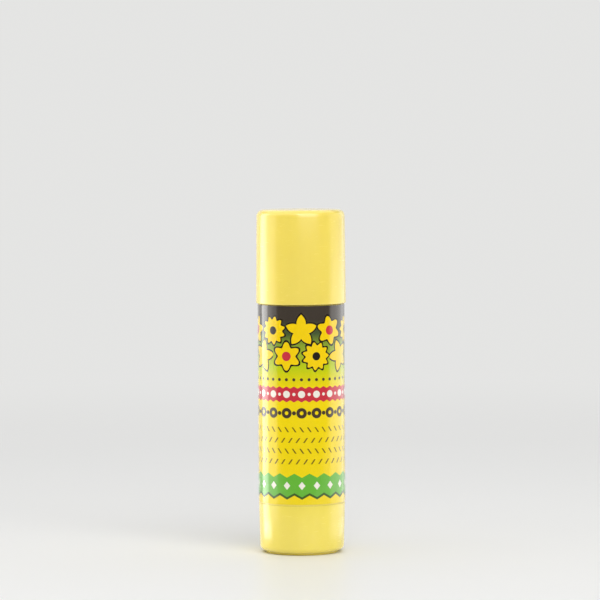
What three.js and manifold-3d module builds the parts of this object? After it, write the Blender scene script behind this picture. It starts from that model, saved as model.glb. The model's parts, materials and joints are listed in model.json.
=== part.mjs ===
// Twist-up glue stick: the knob turns a threaded spindle, which lifts a carrier with the stick of glue.
// Millimetres, +Z up, origin at the centre of the foot that it stands on. Every piece is round the Z axis.

import * as THREE from 'three';
import { ParametricGeometry } from 'three/addons/geometries/ParametricGeometry.js';
import { mergeVertices } from 'three/addons/utils/BufferGeometryUtils.js';
import Module from 'manifold-3d';

const wasm = await Module();
wasm.setup();

// Facets

const SIDES = 48;
const SLIM_SIDES = 20;
const ARC_STEPS = 3;

// Fits between pieces

const SEAM_GAP = 0.3;
const SEAT_GAP = 0.3;
const RUNNING_GAP = 0.25;
const GUIDE_GAP = 0.25;
const CAST_GAP = 0.15;
const WRAP_GAP = 0.02;

// Barrel

const BORE_RADIUS = 9.4;
const NECK_WALL = 1.15;
const SHOULDER_STEP = 1.0;
const BODY_LENGTH = 53.1;
const NECK_LENGTH = 12.9;
const LIP_ROUNDING = 0.4;
const NECK_BEAD_HEIGHT = 0.1;
const NECK_BEAD_WIDTH = 1.2;
const NECK_BEAD_RISE = 3.2;
const BULKHEAD_RISE = 2.0;
const BULKHEAD_THICKNESS = 1.5;
const SPIGOT_LENGTH = 6.5;
const SPIGOT_WALL = 1.1;
const GUIDE_COUNT = 4;
const GUIDE_WIDTH = 0.8;
const GUIDE_HEIGHT = 0.4;
const GUIDE_STOP = 2.0;

// Label

const FILM_THICKNESS = 0.12;
const FILM_TOP_MARGIN = 0.1;
const FILM_FOOT_MARGIN = 0.3;
const FILM_OVERLAP_FACETS = 3;
const FILM_RISE_FACETS = 2;

// Cap

const CAP_FIT = 0.35;
const CAP_WALL = 1.2;
const CAP_TOP_THICKNESS = 1.3;
const CAP_HEIGHT = 25.1;
const CAP_DRAFT = 0.25;
const CAP_ROUNDING = 1.8;
const CAP_RIM_ROUNDING = 0.3;
const CAP_BEAD_WIDTH = 1.2;
const CAP_BEAD_RISE = 1.6;
const SNAP_GAP = 0.08;

// Knob

const KNOB_HEIGHT = 13.2;
const KNOB_PROUD = 0.05;
const KNOB_DRAFT = 0.1;
const KNOB_WALL = 1.25;
const KNOB_FLOOR = 1.4;
const KNOB_ROUNDING = 1.55;
const KNOB_RIM_ROUNDING = 0.25;
const KNOB_RIB_COUNT = 6;
const KNOB_RIB_THICKNESS = 0.9;
const KNOB_RIB_GAP = 1.0;
const FOOT_HEIGHT = 0.5;
const FOOT_INSET = 1.8;
const FOOT_WIDTH = 1.5;
const HUB_WALL = 1.4;

// Spindle

const CORE_RADIUS = 2.1;
const THREAD_DEPTH = 1.2;
const THREAD_LEAD = 5.0;
const THREAD_ROOT_WIDTH = 2.0;
const THREAD_CREST_WIDTH = 1.0;
const THREAD_RUN_OUT = 0.3;
const THREAD_LET_IN = 0.7;
const PARTING_FLAT_DEPTH = 0.35;
const FLANGE_RADIUS = 4.8;
const FLANGE_THICKNESS = 1.2;
const JOURNAL_RADIUS = 3.1;
const TIP_DEPTH = 2.9;
const TIP_LENGTH = 1.0;
const TIP_RADIUS = 1.2;
const KEY_ACROSS_FLATS = 5.0;
const KEY_GAP = 0.15;
const KEY_END_GAP = 0.6;
const SNAP_WAIST_DEPTH = 0.4;
const SNAP_WAIST_WIDTH = 1.2;
const SNAP_WAIST_RISE = 3.0;

// Carrier and glue

const CUP_WALL = 0.9;
const CUP_FLOOR = 1.2;
const CUP_HEIGHT = 8.2;
const CUP_LIP_HEIGHT = 0.15;
const CUP_LIP_WIDTH = 0.9;
const CUP_LIP_INSET = 1.3;
const NUT_WALL = 1.2;
const NUT_LENGTH = 8.0;
const FIN_COUNT = 4;
const FIN_THICKNESS = 0.8;
const FIN_INSET = 2.0;
const GLUE_TOP_DEPTH = 0.8;
const GLUE_SKIN = 1.6;
const GLUE_EDGE = 0.4;

// Radii that follow

const NECK_RADIUS = BORE_RADIUS + NECK_WALL;
const BODY_RADIUS = NECK_RADIUS + SHOULDER_STEP;
const CAP_RIM_BORE = NECK_RADIUS + CAP_FIT;
const CAP_RIM_RADIUS = CAP_RIM_BORE + CAP_WALL;
const KNOB_TOP_RADIUS = BODY_RADIUS + KNOB_PROUD;
const KNOB_BOTTOM_RADIUS = KNOB_TOP_RADIUS - KNOB_DRAFT;
const KNOB_BORE = KNOB_TOP_RADIUS - KNOB_WALL;
const FOOT_OUTER = KNOB_BOTTOM_RADIUS - FOOT_INSET;
const FOOT_INNER = FOOT_OUTER - FOOT_WIDTH;
const SPIGOT_RADIUS = KNOB_BORE - RUNNING_GAP;
const SPIGOT_BORE = SPIGOT_RADIUS - SPIGOT_WALL;
const CREST_RADIUS = CORE_RADIUS + THREAD_DEPTH;
const BEARING_RADIUS = JOURNAL_RADIUS + RUNNING_GAP;
const SOCKET_ACROSS_FLATS = KEY_ACROSS_FLATS + 2 * KEY_GAP;
const HUB_RADIUS = SOCKET_ACROSS_FLATS / Math.sqrt(3) + HUB_WALL;
const WAIST_RADIUS = KEY_ACROSS_FLATS / 2 - SNAP_WAIST_DEPTH;
const CUP_RADIUS = BORE_RADIUS - SEAT_GAP;
const CUP_BORE = CUP_RADIUS - CUP_WALL;
const NUT_RADIUS = CREST_RADIUS + RUNNING_GAP + NUT_WALL;
const GLUE_RADIUS = BORE_RADIUS - CAST_GAP;
const GLUE_BORE = CREST_RADIUS + SEAT_GAP;

// Heights above the origin that follow

const BARREL_Z = KNOB_HEIGHT + SEAM_GAP;
const SHOULDER_Z = BARREL_Z + BODY_LENGTH;
const MOUTH_Z = SHOULDER_Z + NECK_LENGTH;
const CAP_Z = SHOULDER_Z + SEAM_GAP;
const SPINDLE_Z = BARREL_Z + BULKHEAD_RISE + BULKHEAD_THICKNESS + SEAT_GAP;
const CARRIER_Z = SPINDLE_Z + FLANGE_THICKNESS + SEAT_GAP;
const HUB_TOP_Z = BARREL_Z + BULKHEAD_RISE - SEAT_GAP;
const KNOB_FLOOR_Z = FOOT_HEIGHT + KNOB_FLOOR;
const KEY_END_Z = KNOB_FLOOR_Z + KEY_END_GAP;
const SNAP_Z = KEY_END_Z + SNAP_WAIST_RISE;

// Solids

/** A closed geometry as a solid, its shared corners merged and without triangles that vanish at a pole. */
function solid(geometry) {
  const bare = geometry.clone();
  bare.deleteAttribute('normal');
  bare.deleteAttribute('uv');
  const merged = mergeVertices(bare);
  const indices = merged.getIndex().array;
  const triVerts = [];
  for (let i = 0; i < indices.length; i += 3) {
    const [a, b, c] = indices.slice(i, i + 3);
    if (a !== b && b !== c && c !== a) triVerts.push(a, b, c);
  }
  const vertProperties = merged.getAttribute('position').array;
  const mesh = new wasm.Mesh({ numProp: 3, vertProperties, triVerts: new Uint32Array(triVerts) });
  return new wasm.Manifold(mesh);
}

/** A solid back as a geometry that a mesh can show. */
function geometryOf(body) {
  const { vertProperties, triVerts } = body.getMesh();
  const geometry = new THREE.BufferGeometry();
  geometry.setAttribute('position', new THREE.BufferAttribute(vertProperties, 3));
  geometry.setIndex(new THREE.BufferAttribute(triVerts, 1));
  geometry.computeVertexNormals();
  return geometry;
}

/** A path of radius and height, spun round Z: out at the bottom, up the outside and in at the top. */
function turned(path, sides = SIDES) {
  const lathe = new THREE.LatheGeometry(path.getPoints(ARC_STEPS), sides);
  return solid(lathe.rotateX(Math.PI / 2));
}

/** A path through corners given as radius and height. */
function corners(...points) {
  const path = new THREE.Path();
  path.moveTo(...points[0]);
  points.slice(1).forEach((point) => path.lineTo(...point));
  return path;
}

function disc(radius, low, high, sides) {
  return turned(corners([0, low], [radius, low], [radius, high], [0, high]), sides);
}

function ring(inner, outer, low, high, sides) {
  return turned(corners([inner, low], [outer, low], [outer, high], [inner, high], [inner, low]), sides);
}

function hexagon(acrossFlats, low, high) {
  const radius = acrossFlats / Math.sqrt(3);
  const prism = new THREE.CylinderGeometry(radius, radius, high - low, 6).rotateX(Math.PI / 2);
  return solid(prism.translate(0, 0, (low + high) / 2));
}

/** Upright blades that stand radially from one radius to another, evenly round the axis. */
function blades({ count, thickness, inner, outer, low, high, turn = 0 }) {
  const shapes = Array.from({ length: count }, (_, i) => {
    const blade = new THREE.BoxGeometry(outer - inner, thickness, high - low);
    blade.translate((inner + outer) / 2, 0, (low + high) / 2);
    return solid(blade.rotateZ(turn + (i * 2 * Math.PI) / count));
  });
  return shapes.reduce((all, shape) => all.add(shape));
}

/**
 * The ridge of the left-hand thread: a trapezoid wound round the core, let into it, and sunk away at both
 * ends. datum is the piece's height above the origin, so the screw and its nut wind in step, and the steps
 * fall on the core's own facets.
 */
function threadRidge({ low, high, datum, gap = 0 }) {
  const rise = THREAD_LEAD / SLIM_SIDES;
  const start = Math.ceil((low + datum) / rise) * rise;
  const steps = Math.floor((high + datum - start) / rise);
  const runOut = THREAD_RUN_OUT * SLIM_SIDES;
  const flankSlope = (THREAD_ROOT_WIDTH - THREAD_CREST_WIDTH) / (2 * THREAD_DEPTH);
  const foot = CORE_RADIUS * THREAD_LET_IN;
  const crest = CREST_RADIUS + gap;
  const halfCrest = THREAD_CREST_WIDTH / 2 + gap;
  const halfFoot = halfCrest + flankSlope * (crest - foot);
  const section = [[foot, -halfFoot], [crest, -halfCrest], [crest, halfCrest], [foot, halfFoot]];
  const place = (u, v, point) => {
    const [radius, offset] = section[Math.round(u * section.length) % section.length];
    const step = v * steps;
    const grown = Math.min(1, step / runOut, (steps - step) / runOut);
    const height = start + step * rise;
    const angle = (-2 * Math.PI * height) / THREAD_LEAD;
    const reach = foot + (radius - foot) * grown;
    point.set(reach * Math.cos(angle), reach * Math.sin(angle), height - datum + offset * grown);
  };
  return solid(new ParametricGeometry(place, section.length, steps));
}

// Pieces, each in its own frame

/** Tube, zero at its body's lower end: shoulder and neck above, bulkhead and spigot below, ribs inside. */
function makeBarrel() {
  const mouth = BODY_LENGTH + NECK_LENGTH;
  const bead = BODY_LENGTH + NECK_BEAD_RISE;
  const bulkheadTop = BULKHEAD_RISE + BULKHEAD_THICKNESS;
  const outline = corners(
    [SPIGOT_BORE, -SPIGOT_LENGTH],
    [SPIGOT_RADIUS - LIP_ROUNDING, -SPIGOT_LENGTH],
    [SPIGOT_RADIUS, LIP_ROUNDING - SPIGOT_LENGTH],
    [SPIGOT_RADIUS, 0],
    [BODY_RADIUS, 0],
    [BODY_RADIUS, BODY_LENGTH],
    [NECK_RADIUS, BODY_LENGTH],
    [NECK_RADIUS, bead - NECK_BEAD_WIDTH / 2],
    [NECK_RADIUS + NECK_BEAD_HEIGHT, bead],
    [NECK_RADIUS, bead + NECK_BEAD_WIDTH / 2],
    [NECK_RADIUS, mouth - LIP_ROUNDING],
  );
  outline.absarc(NECK_RADIUS - LIP_ROUNDING, mouth - LIP_ROUNDING, LIP_ROUNDING, 0, Math.PI / 2);
  outline.absarc(BORE_RADIUS + LIP_ROUNDING, mouth - LIP_ROUNDING, LIP_ROUNDING, Math.PI / 2, Math.PI);
  outline.lineTo(BORE_RADIUS, bulkheadTop);
  outline.lineTo(BEARING_RADIUS, bulkheadTop);
  outline.lineTo(BEARING_RADIUS, BULKHEAD_RISE);
  outline.lineTo(SPIGOT_BORE, BULKHEAD_RISE);
  outline.lineTo(SPIGOT_BORE, -SPIGOT_LENGTH);
  const guides = blades({
    count: GUIDE_COUNT,
    thickness: GUIDE_WIDTH,
    inner: BORE_RADIUS - GUIDE_HEIGHT,
    outer: BORE_RADIUS + NECK_WALL / 2,
    low: bulkheadTop - BULKHEAD_THICKNESS / 2,
    high: mouth - GUIDE_STOP,
    turn: Math.PI / GUIDE_COUNT,
  });
  return turned(outline).add(guides);
}

/** Film with its lower edge at zero, wound once round the body and lapped over its own start at the back. */
function makeLabel() {
  const facet = (2 * Math.PI) / SIDES;
  const last = SIDES + FILM_OVERLAP_FACETS;
  const lapped = FILM_THICKNESS + WRAP_GAP;
  const point = (i, outwards) => {
    const lift = THREE.MathUtils.clamp((i - SIDES + FILM_RISE_FACETS) / FILM_RISE_FACETS, 0, 1) * lapped;
    const radius = BODY_RADIUS + WRAP_GAP + lift + outwards;
    const angle = Math.PI / 2 + i * facet;
    return new THREE.Vector2(radius * Math.cos(angle), radius * Math.sin(angle));
  };
  const outer = Array.from({ length: last + 1 }, (_, i) => point(i, FILM_THICKNESS));
  const inner = Array.from({ length: last + 1 }, (_, i) => point(last - i, 0));
  const depth = BODY_LENGTH - FILM_TOP_MARGIN - FILM_FOOT_MARGIN;
  const strip = new THREE.Shape([...outer, ...inner]);
  return solid(new THREE.ExtrudeGeometry(strip, { depth, bevelEnabled: false }));
}

/** Cup, zero at its rim, closed at the top. The bead inside the rim passes the one on the neck. */
function makeCap() {
  const ceiling = CAP_HEIGHT - CAP_TOP_THICKNESS;
  const crown = CAP_RIM_RADIUS - CAP_DRAFT;
  const boreAt = (height) => CAP_RIM_BORE - (CAP_DRAFT * height) / CAP_HEIGHT;
  const inner = CAP_ROUNDING - CAP_WALL;
  const ceilingBore = boreAt(ceiling);
  const beadBore = NECK_RADIUS + NECK_BEAD_HEIGHT + SNAP_GAP;
  const beadTop = CAP_BEAD_RISE + CAP_BEAD_WIDTH / 2;
  const beadLow = CAP_BEAD_RISE - CAP_BEAD_WIDTH / 2;
  const outline = corners([0, ceiling], [ceilingBore - inner, ceiling]);
  outline.absarc(ceilingBore - inner, ceiling - inner, inner, Math.PI / 2, 0, true);
  outline.lineTo(boreAt(beadTop), beadTop);
  outline.lineTo(beadBore, CAP_BEAD_RISE);
  outline.lineTo(boreAt(beadLow), beadLow);
  outline.lineTo(CAP_RIM_BORE, 0);
  const rim = CAP_RIM_RADIUS - CAP_RIM_ROUNDING;
  outline.absarc(rim, CAP_RIM_ROUNDING, CAP_RIM_ROUNDING, -Math.PI / 2, 0);
  outline.lineTo(crown, CAP_HEIGHT - CAP_ROUNDING);
  outline.absarc(crown - CAP_ROUNDING, CAP_HEIGHT - CAP_ROUNDING, CAP_ROUNDING, 0, Math.PI / 2);
  outline.lineTo(0, CAP_HEIGHT);
  return turned(outline);
}

/** Turning base, from the foot ring at zero up: skirt, floor, ribs and the hub with its hexagonal socket. */
function makeKnob() {
  const spigotEnd = BARREL_Z - SPIGOT_LENGTH;
  const outline = corners(
    [0, FOOT_HEIGHT],
    [FOOT_INNER, FOOT_HEIGHT],
    [FOOT_INNER, 0],
    [FOOT_OUTER, 0],
    [FOOT_OUTER, FOOT_HEIGHT],
    [KNOB_BOTTOM_RADIUS - KNOB_ROUNDING, FOOT_HEIGHT],
  );
  const edge = KNOB_BOTTOM_RADIUS - KNOB_ROUNDING;
  outline.absarc(edge, FOOT_HEIGHT + KNOB_ROUNDING, KNOB_ROUNDING, -Math.PI / 2, 0);
  outline.lineTo(KNOB_TOP_RADIUS, KNOB_HEIGHT - KNOB_RIM_ROUNDING);
  outline.lineTo(KNOB_TOP_RADIUS - KNOB_RIM_ROUNDING, KNOB_HEIGHT);
  outline.lineTo(KNOB_BORE, KNOB_HEIGHT);
  outline.lineTo(KNOB_BORE, KNOB_FLOOR_Z);
  outline.lineTo(HUB_RADIUS, KNOB_FLOOR_Z);
  outline.lineTo(HUB_RADIUS, HUB_TOP_Z);
  outline.lineTo(0, HUB_TOP_Z);
  const ribs = blades({
    count: KNOB_RIB_COUNT,
    thickness: KNOB_RIB_THICKNESS,
    inner: HUB_RADIUS - HUB_WALL / 2,
    outer: KNOB_BORE + KNOB_WALL / 2,
    low: KNOB_FLOOR_Z - KNOB_FLOOR / 2,
    high: spigotEnd - KNOB_RIB_GAP,
  });
  const socket = hexagon(SOCKET_ACROSS_FLATS, KNOB_FLOOR_Z, HUB_TOP_Z + SEAT_GAP);
  const halfBead = SNAP_WAIST_WIDTH / 2 - KEY_GAP;
  const beadRoot = HUB_RADIUS - HUB_WALL / 2;
  const snapBead = ring(WAIST_RADIUS + KEY_GAP, beadRoot, SNAP_Z - halfBead, SNAP_Z + halfBead);
  return turned(outline).add(ribs).subtract(socket).add(snapBead);
}

/** Screw with its flange's underside at zero: journal and hexagonal tail below, left-hand thread above. */
function makeSpindle() {
  const journalEnd = HUB_TOP_Z + SEAT_GAP - SPINDLE_Z;
  const tip = MOUTH_Z - TIP_DEPTH - SPINDLE_Z;
  const shank = turned(
    corners(
      [0, journalEnd],
      [JOURNAL_RADIUS, journalEnd],
      [JOURNAL_RADIUS, 0],
      [FLANGE_RADIUS, 0],
      [FLANGE_RADIUS, FLANGE_THICKNESS],
      [CORE_RADIUS, FLANGE_THICKNESS],
      [CORE_RADIUS, tip - TIP_LENGTH],
      [TIP_RADIUS, tip],
      [0, tip],
    ),
    SLIM_SIDES,
  );
  const low = FLANGE_THICKNESS + SEAT_GAP + THREAD_ROOT_WIDTH / 2;
  const high = tip - TIP_LENGTH - THREAD_ROOT_WIDTH / 2;
  const ridge = threadRidge({ low, high, datum: SPINDLE_Z });
  const betweenFlats = new THREE.BoxGeometry(
    2 * (CREST_RADIUS - PARTING_FLAT_DEPTH),
    3 * CREST_RADIUS,
    2 * tip,
  );
  const tailEnd = KEY_END_Z - SPINDLE_Z;
  const tail = hexagon(KEY_ACROSS_FLATS, tailEnd, journalEnd + FLANGE_THICKNESS / 2);
  const waist = SNAP_Z - SPINDLE_Z;
  const groove = ring(
    WAIST_RADIUS,
    KEY_ACROSS_FLATS,
    waist - SNAP_WAIST_WIDTH / 2,
    waist + SNAP_WAIST_WIDTH / 2,
    SLIM_SIDES,
  );
  return shank.add(ridge.intersect(solid(betweenFlats))).add(tail.subtract(groove));
}

/** Cup, zero at its underside: sealing lips, notches for the guide ribs, and the nut with its fins. */
function makeCarrier() {
  const lip = (height) => [
    [CUP_RADIUS, height - CUP_LIP_WIDTH / 2],
    [CUP_RADIUS + CUP_LIP_HEIGHT, height],
    [CUP_RADIUS, height + CUP_LIP_WIDTH / 2],
  ];
  const outline = corners(
    [0, 0],
    [CUP_RADIUS, 0],
    ...lip(CUP_LIP_INSET),
    ...lip(CUP_HEIGHT - CUP_LIP_INSET),
    [CUP_RADIUS, CUP_HEIGHT],
    [CUP_BORE, CUP_HEIGHT],
    [CUP_BORE, CUP_FLOOR],
    [NUT_RADIUS, CUP_FLOOR],
    [NUT_RADIUS, NUT_LENGTH],
    [0, NUT_LENGTH],
  );
  const notches = blades({
    count: GUIDE_COUNT,
    thickness: GUIDE_WIDTH + 2 * GUIDE_GAP,
    inner: BORE_RADIUS - GUIDE_HEIGHT - GUIDE_GAP,
    outer: BORE_RADIUS + CUP_WALL,
    low: -CUP_FLOOR,
    high: CUP_HEIGHT + CUP_FLOOR,
    turn: Math.PI / GUIDE_COUNT,
  });
  const nutBore = disc(CORE_RADIUS + RUNNING_GAP, -CUP_FLOOR, NUT_LENGTH + CUP_FLOOR, SLIM_SIDES);
  const nutThread = threadRidge({
    low: -THREAD_LEAD,
    high: NUT_LENGTH + THREAD_LEAD,
    datum: CARRIER_Z,
    gap: RUNNING_GAP,
  });
  return turned(outline).add(finsOf(0, 0)).subtract(notches).subtract(nutBore.add(nutThread));
}

/** The carrier's fins between nut and cup wall, grown by a gap where they are cut out of the glue. */
function finsOf(sideGap, topGap) {
  return blades({
    count: FIN_COUNT,
    thickness: FIN_THICKNESS + 2 * sideGap,
    inner: NUT_RADIUS - NUT_WALL / 2,
    outer: CUP_BORE + CUP_WALL / 3,
    low: CUP_FLOOR / 2,
    high: CUP_HEIGHT - FIN_INSET + topGap,
  });
}

/** Stick of glue in the carrier's frame: cast into the cup and round the spindle, and shut at the top. */
function makeGlue() {
  const top = MOUTH_Z - GLUE_TOP_DEPTH - CARRIER_Z;
  const holeTop = top - GLUE_SKIN;
  const cupFit = CUP_BORE - CAST_GAP;
  const nutFit = NUT_RADIUS + CAST_GAP;
  const outline = corners(
    [0, holeTop],
    [GLUE_BORE, holeTop],
    [GLUE_BORE, NUT_LENGTH + CAST_GAP],
    [nutFit, NUT_LENGTH + CAST_GAP],
    [nutFit, CUP_FLOOR + CAST_GAP],
    [cupFit, CUP_FLOOR + CAST_GAP],
    [cupFit, CUP_HEIGHT + CAST_GAP],
    [GLUE_RADIUS, CUP_HEIGHT + CAST_GAP],
    [GLUE_RADIUS, top - GLUE_EDGE],
    [GLUE_RADIUS - GLUE_EDGE, top],
    [0, top],
  );
  const flutes = blades({
    count: GUIDE_COUNT,
    thickness: GUIDE_WIDTH + 2 * CAST_GAP,
    inner: BORE_RADIUS - GUIDE_HEIGHT - CAST_GAP,
    outer: BORE_RADIUS + GUIDE_HEIGHT,
    low: 0,
    high: top + GLUE_EDGE,
    turn: Math.PI / GUIDE_COUNT,
  });
  return turned(outline).subtract(flutes).subtract(finsOf(CAST_GAP, CAST_GAP));
}

// Materials and placing

const paleYellow = { color: 0xf0da65, roughness: 0.28, metalness: 0 };
const printedFilm = { color: 0xd9cc2e, roughness: 0.35, metalness: 0 };
const milkWhite = { color: 0xf2f0e6, roughness: 0.45, metalness: 0 };
const waxyWhite = { color: 0xf4f2ea, roughness: 0.6, metalness: 0 };

function piece(name, body, finish, height = 0) {
  const mesh = new THREE.Mesh(geometryOf(body), new THREE.MeshStandardMaterial(finish));
  mesh.name = name;
  mesh.position.z = height;
  return mesh;
}

function placedAt(height, ...members) {
  const group = new THREE.Group();
  group.position.z = height;
  return group.add(...members);
}

const glueStick = new THREE.Group();
glueStick.add(
  placedAt(
    BARREL_Z,
    piece('barrel', makeBarrel(), paleYellow),
    piece('label', makeLabel(), printedFilm, FILM_FOOT_MARGIN),
  ),
  placedAt(CAP_Z, piece('cap', makeCap(), paleYellow)),
  placedAt(0, piece('knob', makeKnob(), paleYellow), piece('spindle', makeSpindle(), milkWhite, SPINDLE_Z)),
  placedAt(CARRIER_Z, piece('carrier', makeCarrier(), milkWhite), piece('glue', makeGlue(), waxyWhite)),
);

export default glueStick;
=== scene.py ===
"""Dresses the twist-up glue stick: finely turned pieces, a printed film label, and plain studio light.

Every size is in metres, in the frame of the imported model: +Z up, origin under the middle of the foot.
"""

import json
import math

import bmesh
import bpy
from bpy.props import FloatProperty, FloatVectorProperty, IntProperty, PointerProperty
from mathutils import Matrix, Vector


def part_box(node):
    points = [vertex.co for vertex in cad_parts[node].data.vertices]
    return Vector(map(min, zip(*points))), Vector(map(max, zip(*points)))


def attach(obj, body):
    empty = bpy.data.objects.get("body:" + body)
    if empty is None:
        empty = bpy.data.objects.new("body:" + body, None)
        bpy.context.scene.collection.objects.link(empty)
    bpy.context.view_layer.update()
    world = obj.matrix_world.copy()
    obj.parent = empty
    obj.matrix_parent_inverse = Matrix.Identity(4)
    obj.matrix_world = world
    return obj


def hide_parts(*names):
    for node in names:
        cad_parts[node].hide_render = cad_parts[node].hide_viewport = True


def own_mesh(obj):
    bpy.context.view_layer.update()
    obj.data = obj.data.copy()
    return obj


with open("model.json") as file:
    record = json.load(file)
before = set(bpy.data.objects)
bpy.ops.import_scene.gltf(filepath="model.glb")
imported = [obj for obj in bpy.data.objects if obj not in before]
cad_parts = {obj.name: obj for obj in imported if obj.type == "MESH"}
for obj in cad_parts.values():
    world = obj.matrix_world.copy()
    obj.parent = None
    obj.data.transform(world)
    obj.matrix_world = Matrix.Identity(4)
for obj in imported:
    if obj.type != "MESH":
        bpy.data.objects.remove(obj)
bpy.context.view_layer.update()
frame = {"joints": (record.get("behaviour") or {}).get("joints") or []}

bl_info = {
    "name": "Twist-up glue stick",
    "version": (1, 0, 0),
    "blender": (4, 5, 0),
    "location": "View3D > Sidebar > Glue stick",
    "description": "Builds a capped twist-up glue stick piece by piece, with its studio",
    "category": "Add Mesh",
}

MM = 0.001
MERGE = 1e-7
UP = Vector((0.0, 0.0, 1.0))
QUARTER = math.pi / 2
FULL = 2 * math.pi

# Hairline seams, and the bare tube under the film
CAP_SEAM = 0.15 * MM
KNOB_SEAM = 0.03 * MM
FOOT_MARGIN = 0.4 * MM


def lowest(node):
    """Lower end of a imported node."""
    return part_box(node)[0].z


def highest(node):
    """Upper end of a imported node."""
    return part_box(node)[1].z


def outermost(node):
    """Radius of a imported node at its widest."""
    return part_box(node)[1].x


def length(name, description, default):
    """A size in metres that a user can change."""
    return FloatProperty(name=name, description=description, default=default, unit="LENGTH", precision=5)


def colour(name, description, default):
    """A linear colour that a user can change."""
    return FloatVectorProperty(
        name=name, description=description, default=default, subtype="COLOR", size=3, min=0.0, max=1.0
    )


def share(name, description, default):
    """A number from nought to one that a user can change."""
    return FloatProperty(
        name=name, description=description, default=default, subtype="FACTOR", min=0.0, max=1.0
    )


def angle(name, description, degrees):
    """An angle that a user can change."""
    return FloatProperty(
        name=name, description=description, default=math.radians(degrees), subtype="ANGLE"
    )


def glow(name, description, default):
    """The brightness of a light that a user can change."""
    return FloatProperty(name=name, description=description, default=default, min=0.0)


def linear(red, green, blue):
    """A colour of the screen, 0 to 255 a channel, as the shader's linear colour."""
    def channel(value):
        value /= 255
        return value / 12.92 if value <= 0.04045 else ((value + 0.055) / 1.055) ** 2.4
    return tuple(channel(value) for value in (red, green, blue))


# Sizes and colours


class TubeSizes(bpy.types.PropertyGroup):
    """Barrel with its neck, bore, bulkhead and spigot."""

    shoulder: length("Shoulder height", "Where the body steps in to the neck", lowest("cap") - CAP_SEAM)
    body_low: length("Body's lower end", "Height of the seam above the knob", lowest("label") - FOOT_MARGIN)
    neck_radius: length("Neck radius", "Outside of the neck", 10.55 * MM)
    bore_radius: length("Bore radius", "Inside of the tube", 9.4 * MM)
    lip: length("Lip rounding", "Rounding of the mouth's two edges", 0.4 * MM)
    bead_height: length("Bead height", "How far the snap bead stands out of the neck", 0.1 * MM)
    bead_width: length("Bead width", "Height of the snap bead along the neck", 1.2 * MM)
    bead_rise: length("Bead rise", "Height of the bead's crest above the shoulder", 3.2 * MM)
    bulkhead_rise: length("Bulkhead rise", "Bulkhead's underside above the body's lower end", 2.0 * MM)
    bulkhead_thickness: length("Bulkhead thickness", "Wall that carries the spindle", 1.5 * MM)
    bearing_radius: length("Bearing radius", "Hole in the bulkhead", 3.35 * MM)
    spigot_radius: length("Spigot radius", "Outside of the spigot that the knob turns on", 10.1 * MM)
    spigot_bore: length("Spigot bore", "Inside of the spigot", 9.0 * MM)
    guide_height: length("Guide height", "How far a guide rib stands into the bore", 0.4 * MM)
    guide_stop: length("Guide stop", "Distance from the guide ribs' ends to the mouth", 2.0 * MM)
    edge: length("Edge rounding", "Rounding of the body's ends", 0.06 * MM)


class CapSizes(bpy.types.PropertyGroup):
    """Push-on cap."""

    wall: length("Wall", "Thickness of the skirt", 1.2 * MM)
    top: length("Top", "Thickness of the closed end", 1.3 * MM)
    draft: length("Draft", "Radius lost from the rim to the closed end", 0.25 * MM)
    rounding: length("Top rounding", "Rounding of the upper edge", 1.8 * MM)
    rim: length("Rim rounding", "Rounding of the rim's outer edge", 0.3 * MM)
    bead_height: length("Bead height", "How far the bead stands in from the wall", 0.15 * MM)
    bead_width: length("Bead width", "Height of the bead along the wall", 1.2 * MM)
    bead_rise: length("Bead rise", "Height of the bead's crest above the rim", 1.6 * MM)
    bead_crest: length("Bead rounding", "Rounding of the bead's crest", 0.4 * MM)
    gate_radius: length("Gate radius", "Small dimple in the middle of the top", 1.1 * MM)
    gate_depth: length("Gate depth", "Depth of the dimple", 0.18 * MM)


class KnobSizes(bpy.types.PropertyGroup):
    """Turning base."""

    draft: length("Draft", "Radius lost from the rim to the lower edge", 0.3 * MM)
    wall: length("Wall", "Thickness of the skirt at its rim", 1.25 * MM)
    height: length(
        "Height", "Top of the skirt above the ground", lowest("label") - (FOOT_MARGIN + KNOB_SEAM)
    )
    floor: length("Floor", "Thickness of the floor", 1.4 * MM)
    rounding: length("Lower rounding", "Rounding of the lower edge", 1.55 * MM)
    rim: length("Rim rounding", "Rounding of the upper edge", 0.08 * MM)
    foot_height: length("Foot height", "How far the foot ring stands below the floor", 0.5 * MM)
    foot_outer: length("Foot's outer radius", "Outside of the foot ring", 9.7 * MM)
    foot_inner: length("Foot's inner radius", "Inside of the foot ring", 8.2 * MM)
    foot_edge: length("Foot rounding", "Rounding of the foot ring", 0.18 * MM)
    hub_radius: length("Hub radius", "Outside of the hub round the spindle's tail", 4.46 * MM)
    rib_thickness: length("Rib thickness", "Thickness of the ribs from hub to skirt", 0.9 * MM)
    rib_top: length("Rib height", "Height of the ribs above the ground", 6.0 * MM)
    socket_flats: length("Socket", "Hexagonal socket, across its flats", 5.3 * MM)


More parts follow.
